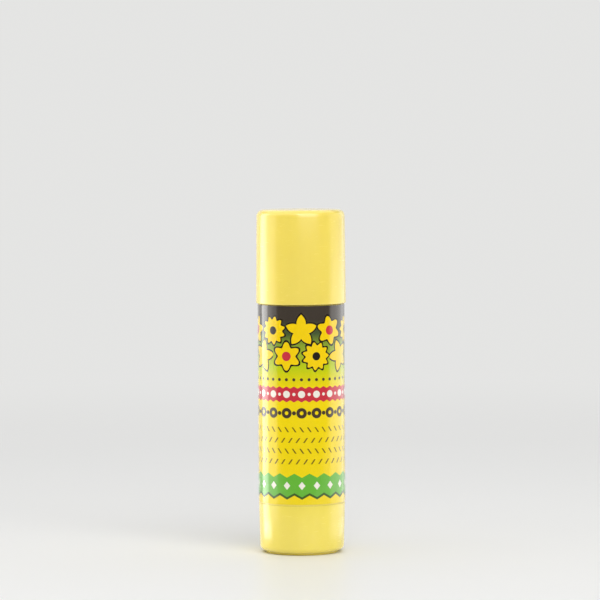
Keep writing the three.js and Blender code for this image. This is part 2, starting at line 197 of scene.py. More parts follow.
class ScrewSizes(bpy.types.PropertyGroup):
    """Spindle, and the nut that runs on it."""

    core_radius: length("Core radius", "Radius at the foot of the thread", 2.1 * MM)
    crest_radius: length("Crest radius", "Radius at the crest of the thread", 3.3 * MM)
    lead: length("Lead", "Rise of the thread in one turn", 5.0 * MM)
    root_width: length("Root width", "Width of the ridge at its foot", 2.0 * MM)
    crest_width: length("Crest width", "Width of the ridge at its crest", 1.0 * MM)
    run_out: share("Run-out", "Part of a turn in which the ridge sinks away at each end", 0.3)
    flat_depth: length("Parting flats", "Depth of the flats at the mould's parting", 0.35 * MM)
    clearance: length("Clearance", "Gap between screw and nut", 0.25 * MM)
    fillet: length("Fillet", "Rounding where the core meets the flange", 0.35 * MM)
    flange_radius: length("Flange radius", "Thrust flange on the bulkhead", 4.8 * MM)
    flange_thickness: length("Flange thickness", "Thickness of the flange", 1.2 * MM)
    flange_edge: length("Flange rounding", "Rounding of the flange's upper edge", 0.25 * MM)
    thread_rise: length("Thread rise", "Bare core between the flange and the thread", 0.3 * MM)
    flange_low: length("Flange's underside", "Height of the flange's lower face", 17.3 * MM)
    journal_radius: length("Journal radius", "Part that runs in the bulkhead", 3.1 * MM)
    journal_low: length("Journal's lower end", "Height at which the hexagonal tail starts", 15.5 * MM)
    tip_length: length("Tip length", "Tapered end above the thread", 1.0 * MM)
    tip_radius: length("Tip radius", "Radius of the tapered end", 1.2 * MM)
    tail_flats: length("Tail", "Hexagonal tail, across its flats", 5.0 * MM)
    waist_radius: length("Waist radius", "Foot of the snap groove in the tail", 2.1 * MM)
    waist_width: length("Waist width", "Width of the snap groove", 1.2 * MM)
    waist_rise: length("Waist rise", "Snap groove's middle above the end of the tail", 3.0 * MM)


class CarrierSizes(bpy.types.PropertyGroup):
    """Cup that carries the glue."""

    radius: length("Radius", "Outside of the cup", 9.1 * MM)
    wall: length("Wall", "Thickness of the cup's wall", 0.9 * MM)
    floor: length("Floor", "Thickness of the cup's floor", 1.2 * MM)
    lip_height: length("Lip height", "How far a sealing lip stands out", 0.15 * MM)
    lip_width: length("Lip width", "Width of a sealing lip", 0.9 * MM)
    lip_inset: length("Lip inset", "Distance of a lip from the cup's edge", 1.3 * MM)
    nut_radius: length("Nut radius", "Outside of the nut", 4.75 * MM)
    nut_length: length("Nut length", "Height of the nut above the underside", 8.0 * MM)
    fin_thickness: length("Fin thickness", "Thickness of the fins round the nut", 0.8 * MM)
    fin_inset: length("Fin inset", "Distance from the fins' tops to the rim", 2.0 * MM)
    notch_width: length("Notch width", "Width of the notches for the guide ribs", 1.3 * MM)
    notch_depth: length("Notch depth", "Depth of the notches", 0.35 * MM)
    root: length("Root", "How far the fins start inside the nut and the floor", 0.6 * MM)


class GlueSizes(bpy.types.PropertyGroup):
    """Stick of adhesive."""

    cast_gap: length("Cast gap", "Gap between the glue and what it is cast in", 0.15 * MM)
    bore_radius: length("Bore radius", "Hole round the spindle", 3.6 * MM)
    skin: length("Skin", "Glue above the hole's end", 1.6 * MM)
    edge: length("Edge rounding", "Rounding of the upper edge", 0.5 * MM)
    dish: length("Dish", "How far the middle of the face sinks", 0.35 * MM)
    dish_blend: length("Dish rounding", "Rounding where the face starts and stops sinking", 3.0 * MM)
    flute_width: length("Flute width", "Width of a guide rib that the glue was cast against", 0.8 * MM)
    head_rise: length("Head rise", "How far the head climbs while the stick wears down", 8.0 * MM)


class LabelSizes(bpy.types.PropertyGroup):
    """Film wrapped round the tube."""

    thickness: length("Film thickness", "Thickness of the film", 0.12 * MM)
    gap: length("Wrap gap", "Gap under the film", 0.02 * MM)
    margin: length("Upper margin", "Bare tube between the film and the shoulder", 0.1 * MM)
    overlap: angle("Overlap", "How far the film laps over its start", 22.5)
    rise: angle("Rise", "Turn in which the film climbs onto its start", 15)


class PrintColours(bpy.types.PropertyGroup):
    """Inks on the label."""

    night: colour("Night", "Top of the label", linear(66, 58, 50))
    moss: colour("Moss", "Where the dark turns green", linear(72, 90, 52))
    leaf: colour("Leaf", "Green of the fade", linear(140, 165, 45))
    lime: colour("Lime", "Yellow green of the fade", linear(192, 208, 10))
    sun: colour("Sun", "Yellow of the field", linear(247, 219, 0))
    shape: colour("Shapes", "Cut-paper shapes", linear(250, 212, 0))
    outline: colour("Outline", "Outline round the shapes", linear(38, 32, 24))
    ribbon: colour("Ribbon", "Red ribbon", linear(205, 52, 66))
    dots: colour("Dots", "Pale dots on the ribbon and the hem", linear(246, 240, 228))
    beads: colour("Beads", "Dark row of beads", linear(74, 60, 44))
    stitches: colour("Stitches", "Small slanting stitches", linear(112, 90, 22))
    hem: colour("Hem", "Green hem", linear(104, 186, 56))
    hem_shade: colour("Hem's shade", "Lower edge of the hem", linear(58, 92, 30))


class Finishes(bpy.types.PropertyGroup):
    """Colours and gloss of the mouldings and the glue."""

    cap: colour("Cap", "Pale yellow of the cap", linear(243, 219, 96))
    knob: colour("Knob", "Pale yellow of the knob", linear(243, 222, 88))
    tube: colour("Tube", "Pale yellow of the tube", linear(243, 221, 92))
    white: colour("Inner parts", "Natural plastic of spindle and carrier", linear(228, 225, 212))
    glue: colour("Glue", "Waxy adhesive", linear(228, 225, 213))
    gloss: share("Gloss", "Polish over the cap, the tube, the knob and the film", 1.0)
    cap_roughness: share("Cap roughness", "Roughness of the cap and the tube", 0.22)
    knob_roughness: share("Knob roughness", "Roughness of the knob", 0.22)
    film_roughness: share("Film roughness", "Roughness of the film", 0.15)
    glue_roughness: share("Glue roughness", "Roughness of the glue", 0.48)
    spindle_roughness: share("Spindle roughness", "Roughness of the spindle", 0.34)
    carrier_roughness: share("Carrier roughness", "Roughness of the carrier", 0.4)


class StudioSettings(bpy.types.PropertyGroup):
    """Floor, backdrop, lamps and camera."""

    camera_distance: length("Camera distance", "From the camera to the tube's axis", 0.88)
    camera_height: length("Camera height", "Camera above the ground", 0.1138)
    camera_shift: length("Camera shift", "Camera to the side of the tube's axis", -0.00027)
    camera_pitch: angle("Pitch", "How far the camera looks down", 3.0)
    camera_roll: angle("Roll", "Turn of the camera about its line of sight", 0.3)
    focal: FloatProperty(
        name="Focal length", description="Lens, in millimetres", default=197.1, unit="CAMERA"
    )
    floor: colour("Floor", "Pale floor", (0.86, 0.86, 0.85))
    backdrop: colour("Backdrop", "Far floor and all that lies beyond it", (0.78, 0.78, 0.77))
    world: glow("Fill", "Brightness of the even light all round", 0.15)
    mirrored: glow("Mirrored fill", "Brightness of the even light as the gloss shows it", 0.05)
    key: glow("Key", "Brightness of the large light at the front right", 2.73)
    overhead: glow("Overhead", "Brightness of the light above", 1.0)
    left: glow("Left panel", "Brightness of the left panel", 0.85)
    strip: glow("Left strip", "Brightness of the left panel's far part", 3.0)
    right: glow("Right panel", "Brightness of the right panel", 0.72)
    panel_distance: length("Panel distance", "From the tube's axis to the side panels", 0.07)
    panel_height: length("Panel height", "Height of the side panels", 0.135)
    low_distance: length("Low distance", "From the tube's axis to the low panels that the knob shows", 0.03)
    low_height: length("Low height", "Height of the low panels", 0.006)


class GlueStickSettings(bpy.types.PropertyGroup):
    """Everything that a user can change."""

    segments: IntProperty(name="Segments", description="Facets round a turned piece", default=144, min=24)
    tube: PointerProperty(type=TubeSizes)
    cap: PointerProperty(type=CapSizes)
    knob: PointerProperty(type=KnobSizes)
    screw: PointerProperty(type=ScrewSizes)
    carrier: PointerProperty(type=CarrierSizes)
    glue: PointerProperty(type=GlueSizes)
    label: PointerProperty(type=LabelSizes)
    inks: PointerProperty(type=PrintColours)
    finishes: PointerProperty(type=Finishes)
    studio: PointerProperty(type=StudioSettings)


def settings():
    """The sizes, colours and lights in use."""
    return bpy.context.scene.glue_stick


# Shader expressions


def sum_of(operation, swapped=False):
    """A sum with two terms, made as a Math node."""
    def method(self, other):
        terms = (other, self) if swapped else (self, other)
        return self.shader.maths(operation, *terms)
    return method


class Value:
    """A number that varies over a surface: the output socket that carries it. Sums on it add Math nodes."""

    def __init__(self, shader, socket):
        self.shader = shader
        self.socket = socket

    __add__ = sum_of("ADD")
    __radd__ = sum_of("ADD", swapped=True)
    __sub__ = sum_of("SUBTRACT")
    __rsub__ = sum_of("SUBTRACT", swapped=True)
    __mul__ = sum_of("MULTIPLY")
    __rmul__ = sum_of("MULTIPLY", swapped=True)
    __truediv__ = sum_of("DIVIDE")

    def __abs__(self):
        return self.shader.maths("ABSOLUTE", self)


class Shader:
    """A material and its nodes."""

    def __init__(self, name):
        self.material = bpy.data.materials.new(name)
        self.material.use_nodes = True
        self.tree = self.material.node_tree
        self.tree.nodes.clear()

    def node(self, kind, settings=None, sockets=None):
        """Adds a node: its settings are set first, then its sockets get their values or links."""
        made = self.tree.nodes.new(kind)
        for name, value in (settings or {}).items():
            if name == "stops":
                self.set_stops(made.color_ramp, value)
            else:
                setattr(made, name, value)
        for key, value in (sockets or {}).items():
            socket = made.inputs[key]
            if isinstance(value, Value):
                self.tree.links.new(value.socket, socket)
            elif isinstance(value, bpy.types.NodeSocket):
                self.tree.links.new(value, socket)
            else:
                socket.default_value = value
        return made

    @staticmethod
    def set_stops(ramp, stops):
        """Gives a colour ramp its stops, as (position, colour) pairs."""
        ramp.interpolation = "LINEAR"
        while len(ramp.elements) < len(stops):
            ramp.elements.new(1.0)
        for element, (position, tint) in zip(ramp.elements, stops):
            element.position = position
            element.color = (*tint, 1.0)

    def maths(self, operation, *values):
        """A Math node's result."""
        made = self.node("ShaderNodeMath", {"operation": operation}, dict(enumerate(values)))
        return Value(self, made.outputs[0])

    def clamped(self, value):
        """A number kept between nought and one."""
        made = self.node("ShaderNodeClamp", {}, {"Value": value})
        return Value(self, made.outputs[0])

    def mixed(self, factor, first, second):
        """One colour turning into another."""
        values = {0: factor, 6: opaque(first), 7: opaque(second)}
        return self.node("ShaderNodeMix", {"data_type": "RGBA"}, values).outputs[2]

    def axes(self, vector):
        """The three numbers of a vector socket."""
        split = self.node("ShaderNodeSeparateXYZ", {}, {0: vector})
        return [Value(self, output) for output in split.outputs]

    def place(self):
        """Position on the piece, in metres, as a vector socket."""
        return self.node("ShaderNodeTexCoord").outputs["Object"]

    def noise(self, vector, scale, detail=2.0, stretch=(1.0, 1.0, 1.0)):
        """Soft noise from nought to one. A larger stretch makes finer grain along that axis."""
        spread = self.node("ShaderNodeMapping", {}, {"Vector": vector, "Scale": stretch}).outputs[0]
        made = self.node("ShaderNodeTexNoise", {}, {"Vector": spread, "Scale": scale, "Detail": detail})
        return Value(self, made.outputs[0])

    def peaks(self, noise, above, steepness):
        """Sparse marks: what stands above a level of the noise."""
        return self.clamped((noise - above) * steepness)

    def bump(self, height, distance):
        """A normal from a height in units of the distance."""
        made = self.node("ShaderNodeBump", {}, {"Height": height, "Distance": distance, "Strength": 1.0})
        return made.outputs[0]

    def finish(self, **sockets):
        """Ends in a Principled shader. Underscores in a socket's name stand for spaces."""
        values = {name.replace("_", " "): value for name, value in sockets.items()}
        surface = self.node("ShaderNodeBsdfPrincipled", {}, values)
        self.node("ShaderNodeOutputMaterial", {}, {"Surface": surface.outputs[0]})
        return self.material


def opaque(tint):
    """A colour of three numbers with its alpha. A socket stays as it is."""
    return tint if isinstance(tint, bpy.types.NodeSocket) else (*tint[:3], 1.0)


def tinted(tint, amount):
    """A colour made lighter or darker by a factor."""
    return tuple(min(1.0, channel * amount) for channel in tint[:3])


def eased(value):
    """A number from nought to one, or the socket of one, with a soft start and a soft end."""
    return value * value * (3.0 - 2.0 * value)


# Materials

# Distances from the stick over which the floor turns into the backdrop
FADE_START = 0.1
FADE_WIDTH = 0.5


def moulded_plastic(name, tint, roughness, gloss=0.0):
    """Moulding with a fine skin, slight clouding and hairline scuffs. Gloss adds a polish over it."""
    shader = Shader(name)
    place = shader.place()
    cloud = shader.noise(place, scale=90.0, detail=3.0)
    skin = shader.noise(place, scale=2600.0)
    grain = shader.noise(place, scale=420.0, detail=4.0, stretch=(1.0, 1.0, 9.0))
    scuffs = shader.peaks(grain, above=0.64, steepness=9.0)
    return shader.finish(
        Base_Color=shader.mixed(cloud, tinted(tint, 0.95), tinted(tint, 1.04)),
        Roughness=roughness + 0.05 * cloud + 0.12 * scuffs,
        IOR=1.49,
        Coat_Weight=gloss - 0.5 * gloss * scuffs,
        Coat_Roughness=roughness,
        Subsurface_Weight=0.12,
        Subsurface_Radius=(1.0, 0.8, 0.3),
        Subsurface_Scale=0.0015,
        Normal=shader.bump(skin + 0.6 * scuffs, distance=0.000004),
    )


def polished_plastic(piece, roughness):
    """The glossy plastic of a piece that is seen from outside: the cap, the tube or the knob."""
    finishes = settings().finishes
    return moulded_plastic(piece + "_plastic", getattr(finishes, piece), roughness, finishes.gloss)


def waxy_glue(name, tint, roughness):
    """Set adhesive: milky, faintly streaked, with a finely pitted face."""
    shader = Shader(name)
    place = shader.place()
    streaks = shader.noise(place, scale=240.0, detail=3.0, stretch=(1.0, 1.0, 0.25))
    pits = shader.noise(place, scale=1500.0, detail=4.0)
    return shader.finish(
        Base_Color=shader.mixed(streaks, tinted(tint, 0.93), tinted(tint, 1.04)),
        Roughness=roughness + 0.16 * pits,
        IOR=1.45,
        Subsurface_Weight=0.35,
        Subsurface_Radius=(1.0, 0.95, 0.8),
        Subsurface_Scale=0.0007,
        Normal=shader.bump(pits + 0.8 * streaks, distance=0.00003),
    )


class LabelPrint:
    """The label's artwork, drawn by masks. Its millimetres run along the wrap and up from the film's foot."""

    blur = 0.06
    shape_rows = ((46.3, 0.0), (39.5, 0.5))
    shapes_round = 9
    shape_border = 0.55
    shape_tilt = 0.03
    star_tip = 4.3
    star_fall = 4.4
    flower_heart = 1.25
    sun_heart = 1.1
    dots_round = 18
    pip_row = 33.3
    ribbon_row = 29.4
    ribbon_half = 1.85
    scallop_depth = 0.22
    bead_row = 24.4
    stitch_rows = (20.0, 17.15, 14.3, 11.45)
    stitch_lean = 0.7
    stitch_half_width = 0.21
    stitch_half_height = 0.66
    hem_row = 4.6
    hem_half = 2.6
    hem_slope = 0.55
    hem_drop = 0.5
    hem_edge = 0.15
    lozenge_half = 1.1
    lozenge_rise = 0.45
    lozenge_slope = 1.2

    def __init__(self, shader, girth, height, inks):
        self.shader = shader
        self.inks = inks
        self.girth = girth
        self.height = height
        uv = shader.node("ShaderNodeUVMap", {"uv_map": WRAP_MAP}).outputs[0]
        along, up, _ = shader.axes(uv)
        self.along = (along - 0.5) * (WRAP_SPAN / MM)
        self.up = up * (WRAP_SPAN / MM)

    def cell(self, count, shift=0.0):
        """Splits the wrap into equal cells: (position in the cell from its middle, the cell's number)."""
        pitch = self.girth / count
        turns = self.along / pitch + shift
        number = self.shader.maths("ROUND", turns)
        return (turns - number) * pitch, number

    def reach(self, across, up):
        """Distance from a shape's middle."""
        return self.shader.maths("SQRT", across * across + up * up)

    def both(self, first, second):
        """Depth inside two shapes at once."""
        return self.shader.maths("MINIMUM", first, second)

    def lobed(self, turn, count, radius, swing):
        """Radius of an outline that waves in and out as it goes round."""
        return radius + swing * self.shader.maths("COSINE", turn * (count * FULL))

    def paint(self, below, depth, tint):
        """Lays a tint where the depth inside a shape's edge is above nought."""
        return self.shader.mixed(self.shader.clamped(depth / self.blur + 0.5), below, tint)

    def dot(self, below, across, up, tint, radius):
        """Lays a round dot."""
        return self.paint(below, radius - self.reach(across, up), tint)

    def alternating(self, row):
        """Places across the large and across the small dots of a row, and up from it."""
        return self.cell(self.dots_round)[0], self.cell(self.dots_round, 0.5)[0], self.up - row

    def fade(self):
        """Night at the top through green to a yellow field."""
        inks = self.inks
        stops = (
            (0.585, inks.sun), (0.69, inks.lime), (0.8, inks.leaf), (0.86, inks.moss), (0.93, inks.night),
        )
        return self.shader.node("ShaderNodeValToRGB", {"stops": stops}, {0: self.up / self.height}).outputs[0]

    def shapes(self, below):
        """Two staggered rows of stars, flowers and suns cut from paper, each with a dark border."""
        rows = [self.row_of_shapes(height, shift) for height, shift in self.shape_rows]
        for depth, _, _ in rows:
            below = self.paint(below, depth + self.shape_border, self.inks.outline)
        for depth, flower_heart, sun_heart in rows:
            below = self.paint(below, depth, self.inks.shape)
            below = self.paint(below, flower_heart, self.inks.ribbon)
            below = self.paint(below, sun_heart, self.inks.outline)
        return below

    def row_of_shapes(self, height, shift):
        """Depths of one row: its shapes, the flowers' hearts and the suns' hearts."""
        shader = self.shader
        across, number = self.cell(self.shapes_round, shift)
        up = self.up - height
        kind = shader.maths("FLOORED_MODULO", number + 2 * shift, 3.0)
        star, flower, sun = (shader.clamped(1.0 - abs(kind - each)) for each in range(3))
        reach = self.reach(across, up)
        turn = shader.maths("ARCTAN2", across, up) / FULL + self.shape_tilt * number
        spikes = self.star_tip - self.star_fall * shader.maths("PINGPONG", turn * 5.0, 0.5)
        petals = self.lobed(turn, 6, radius=3.15, swing=0.65)
        rays = self.lobed(turn, 11, radius=3.3, swing=0.42)
        edge = star * spikes + flower * petals + sun * rays
        flower_heart = self.both(self.flower_heart - reach, flower - 0.5)
        return edge - reach, flower_heart, self.both(self.sun_heart - reach, sun - 0.5)

    def pips(self, below):
        """Small dark pips in one row."""
        across, _ = self.cell(2 * self.dots_round)
        return self.dot(below, across, self.up - self.pip_row, self.inks.beads, radius=0.42)

    def ribbon(self, below):
        """Red ribbon with scalloped edges, and pale dots large and small by turns."""
        large, small, up = self.alternating(self.ribbon_row)
        scallop = self.lobed(large / self.girth, 2 * self.dots_round, self.ribbon_half, self.scallop_depth)
        below = self.paint(below, scallop - abs(up), self.inks.ribbon)
        below = self.dot(below, large, up, self.inks.dots, radius=0.95)
        return self.dot(below, small, up, self.inks.dots, radius=0.42)

    def beads(self, below):
        """Dark beads, large and small by turns, the large ones with a hole."""
        large, small, up = self.alternating(self.bead_row)
        below = self.dot(below, large, up, self.inks.beads, radius=1.4)
        below = self.dot(below, large, up, self.inks.sun, radius=0.5)
        return self.dot(below, small, up, self.inks.beads, radius=0.55)

    def stitches(self, below):
        """Rows of short stitches that slant one way and then the other."""
        for index, row in enumerate(self.stitch_rows):
            odd = index % 2
            across, _ = self.cell(2 * self.dots_round, 0.5 * odd)
            up = self.up - row
            lean = self.stitch_lean if odd else -self.stitch_lean
            stroke = self.both(
                self.stitch_half_width - abs(across - lean * up), self.stitch_half_height - abs(up)
            )
            below = self.paint(below, stroke, self.inks.stitches)
        return below

    def hem(self, below):
        """Green hem cut in a zigzag, with a dark lower edge and pale lozenges."""
        across, _ = self.cell(self.dots_round)
        up = self.up - self.hem_row
        zigzag = abs(across) * self.hem_slope
        shade = self.hem_half + self.hem_edge - abs(up + self.hem_drop - zigzag)
        below = self.paint(below, shade, self.inks.hem_shade)
        below = self.paint(below, self.hem_half - abs(up - zigzag), self.inks.hem)
        lozenge = self.lozenge_half - abs(up - self.lozenge_rise) - self.lozenge_slope * abs(across)
        return self.paint(below, lozenge, self.inks.dots)

    def colour(self):
        """The whole picture, layer over layer."""
        picture = self.fade()
        for layer in (self.shapes, self.pips, self.ribbon, self.beads, self.stitches, self.hem):
            picture = layer(picture)
        return picture


def printed_film(name, inks, roughness, gloss, girth, height):
    """Glossy printed film: the artwork under a clear skin with faint handling marks."""
    shader = Shader(name)
    place = shader.place()
    artwork = LabelPrint(shader, girth / MM, height / MM, inks).colour()
    grain = shader.noise(place, scale=3800.0, detail=1.0)
    wave = shader.noise(place, scale=160.0)
    marks = shader.noise(place, scale=260.0, detail=4.0, stretch=(1.0, 1.0, 5.0))
    rubs = shader.peaks(marks, above=0.66, steepness=7.0)
    return shader.finish(
        Base_Color=shader.mixed(0.12 * grain, artwork, (0.0, 0.0, 0.0)),
        Roughness=roughness + 0.03 * wave + 0.14 * rubs,
        IOR=1.4,
        Coat_Weight=gloss - 0.5 * gloss * rubs,
        Coat_Roughness=roughness,
        Normal=shader.bump(wave, distance=0.00001),
    )


def satin_floor(name, tint, backdrop):
    """Pale satin paper. Far from the stick, the camera and the gloss see an even backdrop in its place."""
    shader = Shader(name)
    place = shader.place()
    grain = shader.noise(place, scale=20.0)
    paper = shader.node("ShaderNodeBsdfPrincipled", {}, {
        "Base Color": shader.mixed(grain, tinted(tint, 0.99), tinted(tint, 1.01)),
        "Roughness": 0.4 + 0.05 * grain,
        "Specular IOR Level": 0.25,
    })
    even = shader.node("ShaderNodeEmission", {}, {"Color": opaque(backdrop), "Strength": 1.0})
    rays = shader.node("ShaderNodeLightPath").outputs
    seen = shader.maths("MAXIMUM", rays["Is Camera Ray"], rays["Is Glossy Ray"])
    across, along, up = shader.axes(place)
    reach = shader.maths("SQRT", across * across + along * along + up * up)
    far = seen * eased(shader.clamped((reach - FADE_START) / FADE_WIDTH))
    mixed = shader.node("ShaderNodeMixShader", {}, {0: far, 1: paper.outputs[0], 2: even.outputs[0]})
    shader.node("ShaderNodeOutputMaterial", {}, {"Surface": mixed.outputs[0]})
    return shader.material


# Shapes

WRAP_MAP = "wrap"
WRAP_SPAN = 0.1
SHARP = math.radians(32)
THREAD_STEPS = 72
ARC_STEPS = 6
NEAR = 0.02 * MM

# Where the ridge starts inside the core, as a share of its radius, and how little is left of a sunk end
THREAD_FOOT = 0.6
SUNK = 0.02

# Roundings of small edges and inner corners
CRISP = 0.1 * MM
FINE = 0.15 * MM
SLIGHT = 0.2 * MM
SOFT = 0.3 * MM
BROAD = 0.5 * MM

# How far a cutter goes past what it cuts, and how far a rib starts inside its wall
PAST = 1.0 * MM
LET_IN = 0.5 * MM


def rounded(mesh, vert, offset, segments):
    """Rounds one corner of a line as an arc that starts offset away from it."""
    bmesh.ops.bevel(
        mesh, geom=[vert], offset=offset, offset_type="OFFSET", segments=segments, profile=0.5,
        affect="VERTICES", material=-1,
    )


def spun(mesh, geometry, turn, steps, rise=0.0, merge=False):
    """Spins geometry about the axis by a turn in steps, each of which may rise."""
    bmesh.ops.spin(
        mesh, geom=geometry, cent=(0, 0, 0), axis=UP, dvec=(0, 0, rise), angle=turn, steps=steps,
        use_merge=merge, use_duplicate=False,
    )


def kept(result, kind):
    """The verts or faces among what a bmesh operator gives back."""
    return [part for part in result["geom"] if isinstance(part, kind)]


def bead(radius, height, rise, width, edge, crest):
    """Three corners of an outline: a low ring that stands out of a wall, or into it."""
    half = width / 2
    return [(radius, height - half, edge), (radius + rise, height, crest), (radius, height + half, edge)]


def profile_mesh(corners, closed):
    """A profile in the XZ plane. corners are (radius, height, rounding), each rounded as an arc."""
    mesh = bmesh.new()
    chain = [mesh.verts.new((radius, 0.0, height)) for radius, height, _ in corners]
    for first, second in zip(chain, chain[1:]):
        mesh.edges.new((first, second))
    if closed:
        mesh.edges.new((chain[-1], chain[0]))
    for vert, (_, _, rounding) in zip(chain, corners):
        if not rounding:
            continue
        one, other = (edge.other_vert(vert).co - vert.co for edge in vert.link_edges)
        rounded(mesh, vert, rounding / math.tan(one.angle(other) / 2), ARC_STEPS)
    return mesh


def turned(corners, closed=False):
    """A profile spun once round the axis, as a closed bmesh with its faces pointing out."""
    mesh = profile_mesh(corners, closed)
    spun(mesh, mesh.verts[:] + mesh.edges[:], FULL, settings().segments, merge=True)
    return outward(mesh)


def outward(mesh):
    """Merges doubles and turns the faces outwards."""
    bmesh.ops.remove_doubles(mesh, verts=mesh.verts[:], dist=MERGE)
    bmesh.ops.recalc_face_normals(mesh, faces=mesh.faces[:])
    return mesh


def block(low, high, turn=0.0):
    """A box from its low corner to its high corner, turned about Z."""
    mesh = bmesh.new()
    low, high = Vector(low), Vector(high)
    size = Matrix.Diagonal((*(high - low), 1.0))
    place = Matrix.Rotation(turn, 4, "Z") @ Matrix.Translation((low + high) / 2) @ size
    bmesh.ops.create_cube(mesh, size=1.0, matrix=place)
    return mesh


def hexagon(flats, low, high):
    """An upright hexagonal prism."""
    mesh = bmesh.new()
    radius = flats / math.sqrt(3)
    bmesh.ops.create_cone(
        mesh, cap_ends=True, cap_tris=False, segments=6, radius1=radius, radius2=radius, depth=high - low,
        matrix=Matrix.Translation((0, 0, (low + high) / 2)),
    )
    return mesh


def blades(count, thickness, inner, outer, low, high, turn=0.0):
    """Upright radial blades, evenly round the axis, each clear of the others."""
    half = thickness / 2
    return [block((inner, -half, low), (outer, half, high), turn + FULL * i / count) for i in range(count)]


def shaded(mesh):
    """Smooth faces, with the edges that turn sharply marked."""
    for face in mesh.faces:
        face.smooth = True
    for edge in mesh.edges:
        edge.smooth = len(edge.link_faces) == 2 and edge.calc_face_angle(0.0) < SHARP


def object_of(mesh, name):
    """A bmesh as an object at the origin, smooth but for its sharp edges."""
    shaded(mesh)
    data = bpy.data.meshes.new(name)
    mesh.to_mesh(data)
    mesh.free()
    made = bpy.data.objects.new(name, data)
    bpy.context.scene.collection.objects.link(made)
    return made


def carved(piece, operation, tools):
    """Joins tools to a piece, cuts them out of it or keeps what it shares with them. They are used up."""
    for each in tools:
        tool = each if isinstance(each, bpy.types.Object) else object_of(each, "tool")
        change = piece.modifiers.new("carve", "BOOLEAN")
        change.operation = operation
        change.solver = "MANIFOLD"
        change.object = tool
        with bpy.context.temp_override(object=piece, active_object=piece):
            bpy.ops.object.modifier_apply(modifier=change.name)
        bpy.data.objects.remove(tool)


def resharpened(piece):
    """Smooth shading again after cuts, with doubles merged and sharp edges marked."""
    mesh = bmesh.new()
    mesh.from_mesh(piece.data)
    bmesh.ops.dissolve_degenerate(mesh, dist=MERGE, edges=mesh.edges[:])
    bmesh.ops.remove_doubles(mesh, verts=mesh.verts[:], dist=MERGE)
    shaded(mesh)
    mesh.to_mesh(piece.data)
    mesh.free()


def thread(low, high, gap=0.0):
    """The left-hand ridge as a closed mesh, let into the core and sunk away at both ends."""
    screw = settings().screw
    lead = screw.lead
    steps = round((high - low) / lead * THREAD_STEPS)
    foot = THREAD_FOOT * screw.core_radius
    crest = screw.crest_radius + gap
    half_crest = screw.crest_width / 2 + gap
    slope = (screw.root_width - screw.crest_width) / 2 / (screw.crest_radius - screw.core_radius)
    half_foot = half_crest + slope * (crest - foot)
    section = ((foot, -half_foot), (crest, -half_crest), (crest, half_crest), (foot, half_foot))
    mesh = bmesh.new()
    face = mesh.faces.new([mesh.verts.new((radius, 0.0, low + offset)) for radius, offset in section])
    start = Matrix.Rotation(-FULL * low / lead, 3, "Z")
    bmesh.ops.rotate(mesh, verts=face.verts[:], cent=(0, 0, 0), matrix=start)
    spun(mesh, [face], -FULL * steps / THREAD_STEPS, steps, rise=lead / THREAD_STEPS)
    run_out = screw.run_out * lead
    for vert in mesh.verts:
        radius = vert.co.xy.length
        offset = math.remainder(vert.co.z + math.atan2(vert.co.y, vert.co.x) / FULL * lead, lead)
        along = vert.co.z - offset - low
        grown = min(1.0, max(SUNK, min(along, high - low - along) / run_out))
        shrunk = (foot + (radius - foot) * grown) / radius
        vert.co = (vert.co.x * shrunk, vert.co.y * shrunk, vert.co.z - offset * (1 - grown))
    return outward(mesh)


# Pieces


def dressed(piece, material, body, slot, *nodes):
    """Gives a piece its material and the body that it moves with, and hides the nodes that it stands for."""
    piece.data.materials.clear()
    piece.data.materials.append(material)
    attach(piece, body)
    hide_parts(*nodes)


class GLUESTICK_OT_cap(bpy.types.Operator):
    """Cap: a drafted cup with a rounded top, a bead inside its rim and the gate's dimple"""

    bl_idname = "gluestick.cap"
    bl_label = "Cap"

    def execute(self, context):
        cap = settings().cap
        low, high, rim = lowest("cap"), highest("cap"), outermost("cap")
        crown = rim - cap.draft
        bore = rim - cap.wall
        ceiling = high - cap.top
        ceiling_bore = crown - cap.wall
        snap = bead(bore, low + cap.bead_rise, -cap.bead_height, cap.bead_width, SOFT, cap.bead_crest)
        outline = [
            (0.0, ceiling, 0.0),
            (ceiling_bore, ceiling, cap.rounding - cap.wall),
            *reversed(snap),
            (bore, low, cap.rim / 2),
            (rim, low, cap.rim),
            (crown, high, cap.rounding),
            (cap.gate_radius, high, FINE),
            (cap.gate_radius - cap.gate_depth, high - cap.gate_depth, CRISP),
            (0.0, high - cap.gate_depth, 0.0),
        ]
        piece = object_of(turned(outline), "push_on_cap")
        plastic = polished_plastic("cap", settings().finishes.cap_roughness)
        dressed(piece, plastic, "cap", "cap_plastic", "cap")
        return {"FINISHED"}


